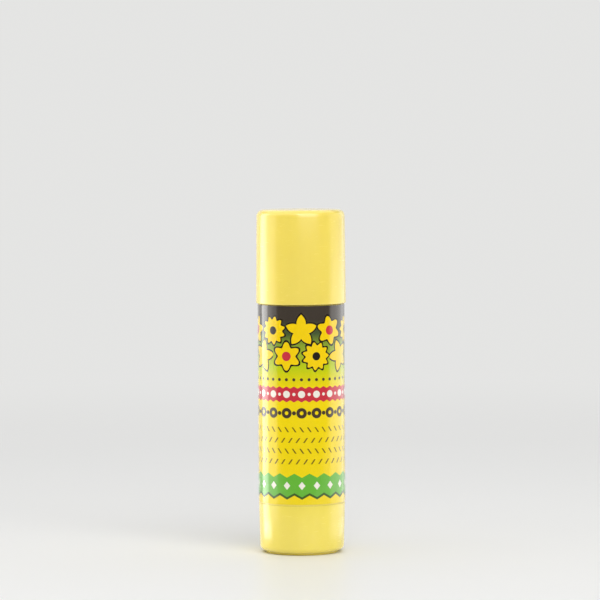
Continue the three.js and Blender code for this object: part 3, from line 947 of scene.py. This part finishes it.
class GLUESTICK_OT_tube(bpy.types.Operator):
    """Tube: body, neck with its snap bead, bore with guide ribs, bulkhead and spigot"""

    bl_idname = "gluestick.tube"
    bl_label = "Tube"

    def execute(self, context):
        tube = settings().tube
        mouth, foot, body = highest("barrel"), lowest("barrel"), outermost("barrel")
        crest = tube.shoulder + tube.bead_rise
        snap = bead(tube.neck_radius, crest, tube.bead_height, tube.bead_width, tube.edge, tube.edge)
        bulkhead = tube.body_low + tube.bulkhead_rise
        deck = bulkhead + tube.bulkhead_thickness
        outline = [
            (tube.spigot_bore, foot, tube.edge),
            (tube.spigot_radius, foot, 2 * tube.edge),
            (tube.spigot_radius, tube.body_low, 0.0),
            (body, tube.body_low, tube.edge),
            (body, tube.shoulder, tube.edge),
            (tube.neck_radius, tube.shoulder, tube.edge),
            *snap,
            (tube.neck_radius, mouth, tube.lip),
            (tube.bore_radius, mouth, tube.lip),
            (tube.bore_radius, deck, tube.edge),
            (tube.bearing_radius, deck, tube.edge),
            (tube.bearing_radius, bulkhead, 0.0),
            (tube.spigot_bore, bulkhead, 0.0),
        ]
        mesh = turned(outline, closed=True)
        self.raise_guides(mesh, tube, deck, mouth - tube.guide_stop)
        plastic = polished_plastic("tube", settings().finishes.cap_roughness)
        dressed(object_of(mesh, "tube"), plastic, "tube", "tube_plastic", "barrel")
        return {"FINISHED"}

    @staticmethod
    def raise_guides(mesh, tube, deck, top):
        """Pushes four narrow strips of the bore's wall inwards."""
        low = deck + SOFT
        wall = []
        for face in mesh.faces:
            centre = face.calc_center_median()
            upright = abs(face.normal.z) < 0.1
            if upright and abs(centre.xy.length - tube.bore_radius) < NEAR and centre.z > deck:
                wall.append(face)
        for height in (low, top):
            geometry = list({part for face in wall for part in (*face.verts, *face.edges)}) + wall
            cut = bmesh.ops.bisect_plane(mesh, geom=geometry, plane_co=(0, 0, height), plane_no=UP)
            wall = kept(cut, bmesh.types.BMFace)
        facet = FULL / settings().segments
        for corner in range(4):
            middle = math.pi / 4 + corner * QUARTER
            inwards = Vector((-math.cos(middle), -math.sin(middle), 0.0))
            strip = []
            for face in wall:
                centre = face.calc_center_median()
                off = abs(math.remainder(math.atan2(centre.y, centre.x) - middle, FULL))
                if off < facet and low < centre.z < top:
                    strip.append(face)
            pushed = bmesh.ops.extrude_face_region(mesh, geom=strip)
            moved = kept(pushed, bmesh.types.BMVert)
            bmesh.ops.translate(mesh, verts=moved, vec=inwards * tube.guide_height)
            bmesh.ops.delete(mesh, geom=strip, context="FACES_ONLY")
            wall = [face for face in wall if face.is_valid]
        bmesh.ops.recalc_face_normals(mesh, faces=mesh.faces[:])


class GLUESTICK_OT_label(bpy.types.Operator):
    """Label: a strip of film wound round the tube and lapped over its own start at the back"""

    bl_idname = "gluestick.label"
    bl_label = "Label"

    def execute(self, context):
        chosen = settings()
        label = chosen.label
        low, high = lowest("label"), chosen.tube.shoulder - label.margin
        radius = outermost("barrel") + label.gap
        facet = FULL / chosen.segments
        lap_steps = round(label.overlap / facet)
        rise_steps = round(label.rise / facet)
        steps = chosen.segments + lap_steps
        mesh = bmesh.new()
        ends = [mesh.verts.new((0.0, radius, height)) for height in (low, high)]
        mesh.edges.new(ends)
        spun(mesh, mesh.edges[:], facet * steps, steps)
        # The film thickens along its faces' normals, and the spin leaves them inwards
        bmesh.ops.reverse_faces(mesh, faces=mesh.faces[:])
        girth = FULL * (radius + label.thickness)
        wrap = mesh.loops.layers.uv.new(WRAP_MAP)
        step_of = {vert: index // 2 for index, vert in enumerate(mesh.verts)}
        for face in mesh.faces:
            for loop in face.loops:
                step = step_of[loop.vert]
                along = (step - chosen.segments / 2) / chosen.segments * girth
                loop[wrap].uv = (0.5 + along / WRAP_SPAN, (loop.vert.co.z - low) / WRAP_SPAN)
        for vert, step in step_of.items():
            lift = min(1.0, max(0.0, (step - chosen.segments + rise_steps) / rise_steps))
            grown = 1 + eased(lift) * (label.thickness + label.gap) / radius
            bmesh.ops.scale(mesh, vec=(grown, grown, 1.0), verts=[vert])
        piece = object_of(mesh, "film_label")
        film = piece.modifiers.new("film", "SOLIDIFY")
        film.thickness = label.thickness
        film.offset = 1.0
        finishes = chosen.finishes
        material = printed_film(
            "printed_film", chosen.inks, finishes.film_roughness, finishes.gloss, girth, high - low
        )
        dressed(piece, material, "tube", "printed_film", "label")
        return {"FINISHED"}


class GLUESTICK_OT_knob(bpy.types.Operator):
    """Knob: skirt, foot ring, ribs and the hub with its hexagonal socket"""

    bl_idname = "gluestick.knob"
    bl_label = "Knob"

    def execute(self, context):
        knob = settings().knob
        rim = outermost("knob")
        lower = rim - knob.draft
        bore = rim - knob.wall
        deck = knob.foot_height + knob.floor
        hub_top = highest("knob")
        outline = [
            (0.0, knob.foot_height, 0.0),
            (knob.foot_inner, knob.foot_height, knob.foot_edge),
            (knob.foot_inner, 0.0, knob.foot_edge),
            (knob.foot_outer, 0.0, knob.foot_edge),
            (knob.foot_outer, knob.foot_height, knob.foot_edge / 2),
            (lower, knob.foot_height, knob.rounding),
            (rim, knob.height, knob.rim),
            (bore, knob.height, knob.rim),
            (bore, deck, BROAD),
            (knob.hub_radius, deck, BROAD),
            (knob.hub_radius, hub_top, SLIGHT),
            (0.0, hub_top, 0.0),
        ]
        piece = object_of(turned(outline), "turning_knob")
        span = (knob.hub_radius - LET_IN, bore + LET_IN)
        carved(piece, "UNION", blades(6, knob.rib_thickness, *span, deck - LET_IN, knob.rib_top))
        carved(piece, "DIFFERENCE", [hexagon(knob.socket_flats, deck, hub_top + PAST)])
        resharpened(piece)
        plastic = polished_plastic("knob", settings().finishes.knob_roughness)
        dressed(piece, plastic, "drive", "knob_plastic", "knob")
        return {"FINISHED"}


class GLUESTICK_OT_glue(bpy.types.Operator):
    """Glue: the stick cast into the carrier and fluted by the guide ribs"""

    bl_idname = "gluestick.glue"
    bl_label = "Glue"

    def execute(self, context):
        glue, carrier, tube = settings().glue, settings().carrier, settings().tube
        top = highest("glue")
        under = lowest("carrier")
        gap = glue.cast_gap
        cup = carrier.radius - carrier.wall - gap
        nut = carrier.nut_radius + gap
        radius = tube.bore_radius - gap
        rim = highest("carrier")
        nut_top = under + carrier.nut_length + gap
        seat = under + carrier.floor + gap
        outline = [
            (0.0, top - glue.skin, 0.0),
            (glue.bore_radius, top - glue.skin, 0.0),
            (glue.bore_radius, nut_top, 0.0),
            (nut, nut_top, 0.0),
            (nut, seat, 0.0),
            (cup, seat, 0.0),
            (cup, rim + gap, 0.0),
            (radius, rim + gap, 0.0),
            (radius, top, glue.edge),
            (radius * 0.72, top - glue.dish * 0.25, glue.dish_blend),
            (radius * 0.3, top - glue.dish, glue.dish_blend),
            (0.0, top - glue.dish, 0.0),
        ]
        piece = object_of(turned(outline), "glue_stick")
        flutes = blades(
            4, 2 * gap + glue.flute_width, tube.bore_radius - tube.guide_height - gap,
            tube.bore_radius + PAST, under, top + PAST, math.pi / 4,
        )
        fins = blades(
            4, carrier.fin_thickness + 2 * gap, carrier.nut_radius - LET_IN, cup + SOFT,
            under, rim - carrier.fin_inset + gap,
        )
        carved(piece, "DIFFERENCE", flutes + fins)
        resharpened(piece)
        finishes = settings().finishes
        adhesive = waxy_glue("adhesive", finishes.glue, finishes.glue_roughness)
        dressed(piece, adhesive, "lift", "adhesive", "glue")
        travel = next(joint for joint in frame["joints"] if joint["name"] == "carrier_lift")["range_m"][1]
        full = top - rim
        worn = (full - travel + glue.head_rise) / full
        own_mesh(piece)
        return {"FINISHED"}


class GLUESTICK_OT_spindle(bpy.types.Operator):
    """Spindle: tail, journal and thrust flange below, a left-hand thread with parting flats above"""

    bl_idname = "gluestick.spindle"
    bl_label = "Spindle"

    def execute(self, context):
        screw = settings().screw
        tip = highest("spindle")
        flange_top = screw.flange_low + screw.flange_thickness
        neck = tip - screw.tip_length
        outline = [
            (0.0, screw.journal_low, 0.0),
            (screw.journal_radius, screw.journal_low, SLIGHT),
            (screw.journal_radius, screw.flange_low, 0.0),
            (screw.flange_radius, screw.flange_low, FINE),
            (screw.flange_radius, flange_top, screw.flange_edge),
            (screw.core_radius, flange_top, screw.fillet),
            (screw.core_radius, neck, 0.0),
            (screw.tip_radius, tip, SOFT),
            (0.0, tip, 0.0),
        ]
        piece = object_of(turned(outline), "threaded_spindle")
        half = screw.root_width / 2
        ridge = object_of(thread(flange_top + screw.thread_rise + half, neck - half), "ridge")
        flats = screw.crest_radius - screw.flat_depth
        wide = 2 * screw.crest_radius
        carved(ridge, "INTERSECT", [block((-flats, -wide, 0.0), (flats, wide, tip))])
        tail = object_of(hexagon(screw.tail_flats, lowest("spindle"), screw.flange_low), "tail")
        waist = lowest("spindle") + screw.waist_rise
        low, high = waist - screw.waist_width / 2, waist + screw.waist_width / 2
        groove = [
            (screw.waist_radius, low, FINE),
            (screw.tail_flats, low, 0.0),
            (screw.tail_flats, high, 0.0),
            (screw.waist_radius, high, FINE),
        ]
        carved(tail, "DIFFERENCE", [turned(groove, closed=True)])
        carved(piece, "UNION", [ridge, tail])
        resharpened(piece)
        finishes = settings().finishes
        white = moulded_plastic("spindle_plastic", finishes.white, finishes.spindle_roughness)
        dressed(piece, white, "drive", "white_plastic", "spindle")
        return {"FINISHED"}


class GLUESTICK_OT_carrier(bpy.types.Operator):
    """Carrier: cup with sealing lips, notches for the guide ribs, and the nut with its fins"""

    bl_idname = "gluestick.carrier"
    bl_label = "Carrier"

    def execute(self, context):
        carrier, screw = settings().carrier, settings().screw
        under, rim = lowest("carrier"), highest("carrier")
        bore = carrier.radius - carrier.wall
        floor, nut_top = under + carrier.floor, under + carrier.nut_length
        outline = [(0.0, under, 0.0), (carrier.radius, under, SLIGHT)]
        for height in (under + carrier.lip_inset, rim - carrier.lip_inset):
            outline += bead(carrier.radius, height, carrier.lip_height, carrier.lip_width, CRISP, FINE)
        outline += [
            (carrier.radius, rim, SLIGHT),
            (bore, rim, SLIGHT),
            (bore, floor, SOFT),
            (carrier.nut_radius, floor, SOFT),
            (carrier.nut_radius, nut_top, FINE),
            (0.0, nut_top, 0.0),
        ]
        piece = object_of(turned(outline), "nut_carrier")
        carved(piece, "UNION", blades(
            4, carrier.fin_thickness, carrier.nut_radius - carrier.root, bore + SOFT,
            floor - carrier.root, rim - carrier.fin_inset,
        ))
        notches = blades(
            4, carrier.notch_width, carrier.radius - carrier.notch_depth, carrier.radius + PAST,
            under - PAST, rim + PAST, math.pi / 4,
        )
        bore_radius = screw.core_radius + screw.clearance
        low, high = under - screw.lead, nut_top + screw.lead
        drill = turned([(0, low, 0), (bore_radius, low, 0), (bore_radius, high, 0), (0, high, 0)])
        carved(piece, "DIFFERENCE", [*notches, drill, thread(low, high, screw.clearance)])
        resharpened(piece)
        finishes = settings().finishes
        white = moulded_plastic("carrier_plastic", finishes.white, finishes.carrier_roughness)
        dressed(piece, white, "lift", "white_plastic", "carrier")
        return {"FINISHED"}


# Studio

SWEEP_HALF_WIDTH = 3.0
SWEEP_NEAR = -0.12
SWEEP_FAR = 3.0
SWEEP_HEIGHT = 1.9
SWEEP_BEND = 0.5
SWEEP_STEPS = 24
AIM = Vector((0.0, 0.0, 0.05))
KEY_SIZE = (1.0, 1.0)
KEY_PLACE = Vector((0.32, -0.84, 0.68))
OVERHEAD_SIZE = (1.8, 1.3)
OVERHEAD_PLACE = Vector((-0.1, 0.05, 0.75))


def panel(name, width, height, brightness, place, direction):
    """A soft rectangular lamp of one brightness, hung at a place and pointed along a direction."""
    lamp = bpy.data.lights.new(name, "AREA")
    lamp.shape = "RECTANGLE"
    lamp.size = width
    lamp.size_y = height
    lamp.energy = math.pi * width * height * brightness
    holder = bpy.data.objects.new(name, lamp)
    holder.location = place
    holder.rotation_mode = "QUATERNION"
    holder.rotation_quaternion = direction.to_track_quat("-Z", "Y")
    holder.visible_camera = False
    bpy.context.scene.collection.objects.link(holder)
    return holder


def side_panel(name, side, height, brightness, near, far):
    """An upright panel beside the stick, from near to far along the line of sight."""
    place = Vector((side, (near + far) / 2, height / 2))
    return panel(name, far - near, height, brightness, place, Vector((-side, 0.0, 0.0)))


def spare_the_floor(lamps, sweeps):
    """Lets lamps light everything but the sweeps."""
    spared = bpy.data.collections.new("spared_by_the_side_panels")
    for sweep in sweeps:
        spared.objects.link(sweep)
    for item in spared.collection_objects:
        item.light_linking.link_state = "EXCLUDE"
    for lamp in lamps:
        lamp.light_linking.receiver_collection = spared


class GLUESTICK_OT_stage(bpy.types.Operator):
    """Stage: paper sweep, soft lamps, even fill and the camera"""

    bl_idname = "gluestick.stage"
    bl_label = "Stage"

    def execute(self, context):
        studio = settings().studio
        sweep = self.lay_sweep("pale_sweep", SWEEP_NEAR, SWEEP_FAR, studio)
        apron = self.lay_sweep("front_apron", SWEEP_NEAR, -SWEEP_FAR, studio)
        apron.visible_glossy = False
        self.hang_lamps(studio, (sweep, apron))
        self.fill(context.scene, studio)
        self.set_camera(context.scene, studio)
        context.scene.view_settings.view_transform = "Standard"
        return {"FINISHED"}

    @staticmethod
    def lay_sweep(name, near, far, studio):
        """Floor from near to far along the line of sight, curved up into a backdrop."""
        mesh = bmesh.new()
        line = ((near, 0.0), (far, 0.0), (far, SWEEP_HEIGHT))
        spine = [mesh.verts.new((-SWEEP_HALF_WIDTH, along, height)) for along, height in line]
        mesh.edges.new(spine[:2])
        mesh.edges.new(spine[1:])
        rounded(mesh, spine[1], SWEEP_BEND, SWEEP_STEPS)
        drawn = bmesh.ops.extrude_edge_only(mesh, edges=mesh.edges[:])
        bmesh.ops.translate(mesh, verts=kept(drawn, bmesh.types.BMVert), vec=(2 * SWEEP_HALF_WIDTH, 0, 0))
        bmesh.ops.recalc_face_normals(mesh, faces=mesh.faces[:])
        sweep = object_of(mesh, name)
        sweep.data.materials.append(satin_floor(name + "_satin", studio.floor, studio.backdrop))
        return sweep

    @staticmethod
    def hang_lamps(studio, sweeps):
        """A key at the front, a light above, and side panels that the gloss shows as long highlights."""
        side, height = studio.panel_distance, studio.panel_height
        low_side, low_height = studio.low_distance, studio.low_height
        lamps = (
            side_panel("right_panel", side, height, studio.right, near=-0.018, far=0.078),
            side_panel("left_panel", -side, height, studio.left, near=-0.035, far=0.004),
            side_panel("left_strip", -side, height, studio.strip, near=0.004, far=0.04),
            side_panel("low_right_panel", low_side, low_height, studio.right, near=-0.012, far=0.022),
            side_panel("low_left_strip", -low_side, low_height, studio.strip, near=-0.007, far=0.009),
        )
        spare_the_floor(lamps, sweeps)
        panel("key", *KEY_SIZE, studio.key, KEY_PLACE, AIM - KEY_PLACE)
        panel("overhead", *OVERHEAD_SIZE, studio.overhead, OVERHEAD_PLACE, AIM - OVERHEAD_PLACE)

    @staticmethod
    def fill(scene, studio):
        """An even light all round, dimmer in the gloss. The camera sees the backdrop's tone instead."""
        world = bpy.data.worlds.new("even_fill")
        world.use_nodes = True
        tree = world.node_tree
        rays = tree.nodes.new("ShaderNodeLightPath").outputs
        goal = tree.nodes["Background"].inputs["Color"]
        for ray, tint in (("Is Camera Ray", studio.backdrop), ("Is Glossy Ray", (studio.mirrored,) * 3)):
            mixed = tree.nodes.new("ShaderNodeMix")
            mixed.data_type = "RGBA"
            mixed.inputs[7].default_value = opaque(tint)
            tree.links.new(rays[ray], mixed.inputs[0])
            tree.links.new(mixed.outputs[2], goal)
            goal = mixed.inputs[6]
        goal.default_value = opaque((studio.world,) * 3)
        scene.world = world

    @staticmethod
    def set_camera(scene, studio):
        """The photograph's view: a long lens from a little above."""
        view = bpy.data.cameras.new("photo_view")
        view.lens = studio.focal
        view.clip_start = 0.05
        view.clip_end = 20.0
        camera = bpy.data.objects.new("photo_view", view)
        camera.location = (studio.camera_shift, -studio.camera_distance, studio.camera_height)
        tilt = Matrix.Rotation(QUARTER - studio.camera_pitch, 4, "X")
        roll = Matrix.Rotation(-studio.camera_roll, 4, "Z")
        camera.matrix_world = Matrix.Translation(camera.location) @ tilt @ roll
        scene.collection.objects.link(camera)
        scene.camera = camera


class GLUESTICK_PT_build(bpy.types.Panel):
    """Buttons that build the glue stick piece by piece"""

    bl_label = "Glue stick"
    bl_space_type = "VIEW_3D"
    bl_region_type = "UI"
    bl_category = "Glue stick"

    def draw(self, context):
        for operator in OPERATORS:
            self.layout.operator(operator.bl_idname)


GROUPS = (
    TubeSizes, CapSizes, KnobSizes, ScrewSizes, CarrierSizes, GlueSizes, LabelSizes, PrintColours, Finishes,
    StudioSettings, GlueStickSettings,
)
OPERATORS = (
    GLUESTICK_OT_stage, GLUESTICK_OT_tube, GLUESTICK_OT_label, GLUESTICK_OT_cap, GLUESTICK_OT_knob,
    GLUESTICK_OT_spindle, GLUESTICK_OT_carrier, GLUESTICK_OT_glue,
)
CLASSES = (*GROUPS, *OPERATORS, GLUESTICK_PT_build)


def register():
    """Adds the classes and the settings to Blender."""
    for kind in CLASSES:
        bpy.utils.register_class(kind)
    bpy.types.Scene.glue_stick = PointerProperty(type=GlueStickSettings)


def unregister():
    """Takes the settings and the classes out again."""
    del bpy.types.Scene.glue_stick
    for kind in reversed(CLASSES):
        bpy.utils.unregister_class(kind)


def main():
    """Builds the stage and every piece."""
    register()
    bpy.ops.gluestick.stage()
    bpy.ops.gluestick.tube()
    bpy.ops.gluestick.label()
    bpy.ops.gluestick.cap()
    bpy.ops.gluestick.knob()
    bpy.ops.gluestick.spindle()
    bpy.ops.gluestick.carrier()
    bpy.ops.gluestick.glue()


if __name__ == "__main__":
    main()
